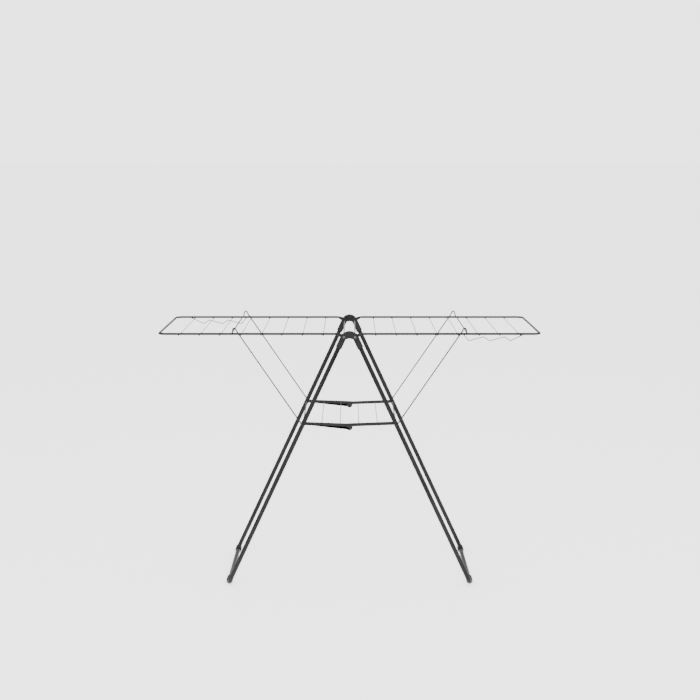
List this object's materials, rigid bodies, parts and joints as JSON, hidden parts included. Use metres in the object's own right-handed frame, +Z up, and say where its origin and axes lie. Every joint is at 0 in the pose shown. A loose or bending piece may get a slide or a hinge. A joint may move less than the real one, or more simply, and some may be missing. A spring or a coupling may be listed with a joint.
{
  "type": "folding clothes airer",
  "caption": "Free-standing folding clothes airer: A-frame tube legs, fold-down wings with cross wires, hooked wire struts and a folding middle shelf.",
  "frame": {"origin": "on the floor, in the middle between the feet", "axes": "+X across the wings, +Y from front to back, +Z up"},
  "size_m": [1.524, 0.59, 1.0577],
  "materials": {
    "hub_plastic": "fine satin grain, black",
    "black_steel": "black powder coat",
    "pivot_steel": "dark zinc",
    "wire_steel": "thin grey-black coat",
    "foot_rubber": "matt"
  },
  "bodies": {
    "hub": {"hub_crown_back": "hub_plastic", "hub_crown_front": "hub_plastic", "hub_pivot_rod_left": "pivot_steel", "hub_pivot_rod_right": "pivot_steel", "hub_rivet_left_back": "pivot_steel", "hub_rivet_left_front": "pivot_steel", "hub_rivet_right_back": "pivot_steel", "hub_rivet_right_front": "pivot_steel"},
    "leg_left": {"foot_left_back": "foot_rubber", "foot_left_front": "foot_rubber", "leg_fitting_left_back": "hub_plastic", "leg_fitting_left_front": "hub_plastic", "leg_tube_left": "black_steel", "low_pivot_rod_left": "pivot_steel"},
    "wing_left": {"hanger_wire_left": "black_steel", "wing_lug_left_back": "pivot_steel", "wing_lug_left_front": "pivot_steel", "wing_rail_left": "black_steel", "wing_wire_left_1": "wire_steel", "wing_wire_left_2": "wire_steel", "wing_wire_left_3": "wire_steel", "wing_wire_left_4": "wire_steel", "wing_wire_left_5": "wire_steel", "wing_wire_left_6": "wire_steel", "wing_wire_left_7": "wire_steel", "wing_wire_left_8": "wire_steel"},
    "strut_left": {"strut_left": "black_steel"},
    "shelf_left": {"shelf_bar_left_back": "black_steel", "shelf_bar_left_front": "black_steel", "shelf_wire_left_1": "wire_steel", "shelf_wire_left_2": "wire_steel"},
    "leg_right": {"foot_right_back": "foot_rubber", "foot_right_front": "foot_rubber", "leg_fitting_right_back": "hub_plastic", "leg_fitting_right_front": "hub_plastic", "leg_tube_right": "black_steel", "low_pivot_rod_right": "pivot_steel"},
    "wing_right": {"hanger_wire_right": "black_steel", "wing_lug_right_back": "pivot_steel", "wing_lug_right_front": "pivot_steel", "wing_rail_right": "black_steel", "wing_wire_right_1": "wire_steel", "wing_wire_right_2": "wire_steel", "wing_wire_right_3": "wire_steel", "wing_wire_right_4": "wire_steel", "wing_wire_right_5": "wire_steel", "wing_wire_right_6": "wire_steel", "wing_wire_right_7": "wire_steel", "wing_wire_right_8": "wire_steel"},
    "strut_right": {"strut_right": "black_steel"},
    "shelf_right": {"shelf_bar_right_back": "black_steel", "shelf_bar_right_front": "black_steel", "shelf_wire_right_1": "wire_steel", "shelf_wire_right_2": "wire_steel"}
  },
  "joints": [
    {"name": "leg_left_fold", "type": "hinge", "parent": "hub", "child": "leg_left", "pos_m": [-0.02201, 0, 1.0195], "axis": [0, -1, 0], "range_deg": [0, 23.4]},
    {"name": "wing_left_fold", "type": "hinge", "parent": "leg_left", "child": "wing_left", "pos_m": [-0.02201, 0, 1.0195], "axis": [0, -1, 0], "range_deg": [0, 60]},
    {"name": "strut_left_swing", "type": "hinge", "parent": "leg_left", "child": "strut_left", "pos_m": [-0.18675, 0, 0.664], "axis": [0, -1, 0], "range_deg": [0, 97]},
    {"name": "shelf_left_fold", "type": "hinge", "parent": "leg_left", "child": "shelf_left", "pos_m": [-0.18675, 0, 0.664], "axis": [0, 1, 0], "range_deg": [0, 118]},
    {"name": "leg_right_fold", "type": "hinge", "parent": "hub", "child": "leg_right", "pos_m": [0.02201, 0, 1.0195], "axis": [0, 1, 0], "range_deg": [0, 23.4]},
    {"name": "wing_right_fold", "type": "hinge", "parent": "leg_right", "child": "wing_right", "pos_m": [0.02201, 0, 1.0195], "axis": [0, 1, 0], "range_deg": [0, 60]},
    {"name": "strut_right_swing", "type": "hinge", "parent": "leg_right", "child": "strut_right", "pos_m": [0.18675, 0, 0.664], "axis": [0, 1, 0], "range_deg": [0, 97]},
    {"name": "shelf_right_fold", "type": "hinge", "parent": "leg_right", "child": "shelf_right", "pos_m": [0.18675, 0, 0.664], "axis": [0, -1, 0], "range_deg": [0, 118]}
  ],
  "couplings": [
    {"joint": "strut_left_swing", "follows": "wing_left_fold", "ratio": 1.6},
    {"joint": "shelf_left_fold", "follows": "leg_left_fold", "ratio": 5},
    {"joint": "strut_right_swing", "follows": "wing_right_fold", "ratio": 1.6},
    {"joint": "shelf_right_fold", "follows": "leg_left_fold", "ratio": 5},
    {"joint": "leg_right_fold", "follows": "leg_left_fold", "ratio": 1}
  ]
}
